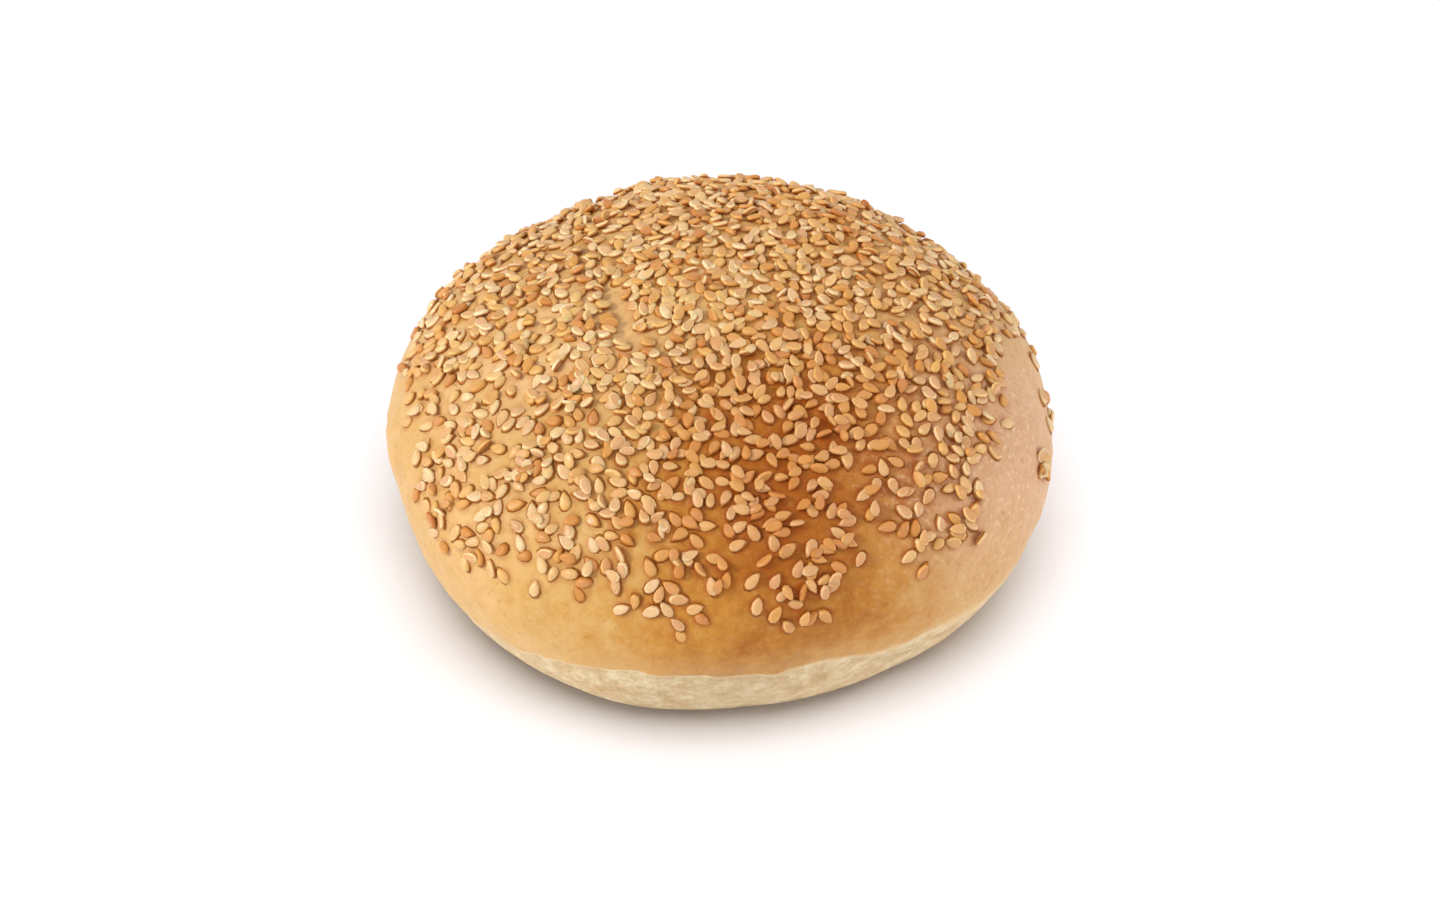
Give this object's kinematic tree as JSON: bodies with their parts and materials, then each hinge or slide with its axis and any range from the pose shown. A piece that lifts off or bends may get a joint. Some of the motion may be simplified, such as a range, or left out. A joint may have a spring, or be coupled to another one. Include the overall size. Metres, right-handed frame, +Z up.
{
  "type": "sesame burger bun",
  "caption": "Round, domed soft bread roll with a golden, seeded crown, a pale unbrowned side and a flat underside that it rests on.",
  "frame": {"origin": "middle of the flat underside, on the surface that the bun rests on", "axes": "+Z up through the crown, -Y towards the front that the picture shows, +X to the right of it"},
  "size_m": [0.1156, 0.1152, 0.0544],
  "materials": {
    "crust": "satin"
  },
  "bodies": {
    "root": {"bun": "crust"}
  },
  "joints": []
}
